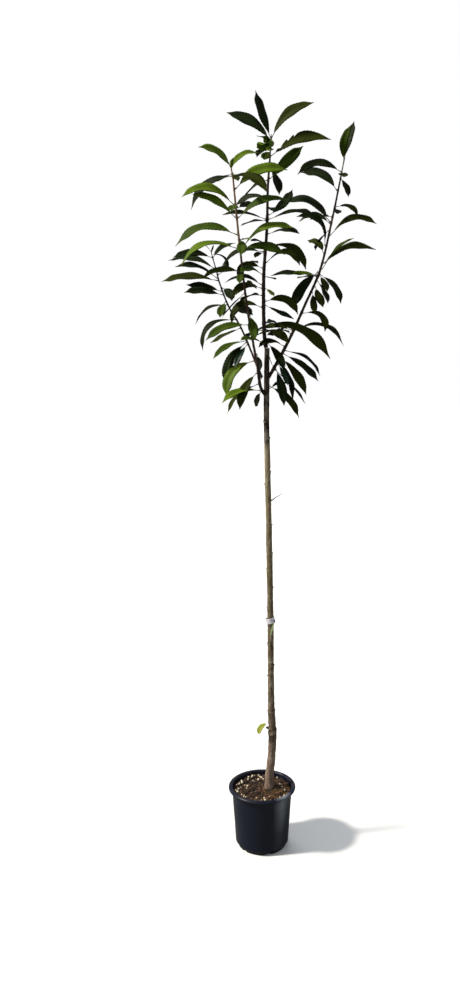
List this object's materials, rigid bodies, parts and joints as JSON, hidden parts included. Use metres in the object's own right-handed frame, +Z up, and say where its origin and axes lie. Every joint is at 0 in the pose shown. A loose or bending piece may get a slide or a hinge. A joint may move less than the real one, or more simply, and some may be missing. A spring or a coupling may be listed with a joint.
{
  "type": "potted sweet chestnut tree",
  "caption": "Young grafted sweet chestnut on a tall bare stem with a narrow leafy crown, standing in a round black nursery pot of potting mix.",
  "frame": {"origin": "centre of the flat underside of the pot", "axes": "+Z up along the stem; -Y towards the viewer's side; +X to the viewer's right"},
  "size_m": [0.6589, 0.38, 2.3201],
  "materials": {
    "pot_plastic": "satin",
    "potting_mix": "matte",
    "bark": "matte",
    "young_bark": "satin",
    "leaf": "satin",
    "label": "satin"
  },
  "bodies": {
    "root": {"pot": "pot_plastic", "potting_mix": "potting_mix", "trunk": "bark", "trunk_label": "label", "leader": "young_bark", "bough_left": "young_bark", "bough_left_inner": "young_bark", "bough_left_outer": "young_bark", "bough_right": "young_bark", "leaves_leader_top": "leaf", "leaves_leader_high_west": "leaf", "leaves_leader_high_east": "leaf", "leaves_leader_low_west": "leaf", "leaves_leader_low_east": "leaf", "leaves_left_inner_top": "leaf", "leaves_left_inner_high_west": "leaf", "leaves_left_inner_high_east": "leaf", "leaves_left_inner_low_west": "leaf", "leaves_left_inner_low_east": "leaf", "leaves_left_outer_top": "leaf", "leaves_left_outer_low_west": "leaf", "leaves_left_outer_low_east": "leaf", "leaves_left_foot_west": "leaf", "leaves_right_top": "leaf", "leaves_right_high_west": "leaf", "leaves_right_high_east": "leaf", "leaves_right_middle_west": "leaf", "leaves_right_middle_east": "leaf", "leaves_right_low_west": "leaf", "leaves_right_low_east": "leaf", "leaves_trunk_middle_east": "leaf", "leaves_trunk_foot_west": "leaf"}
  },
  "joints": []
}
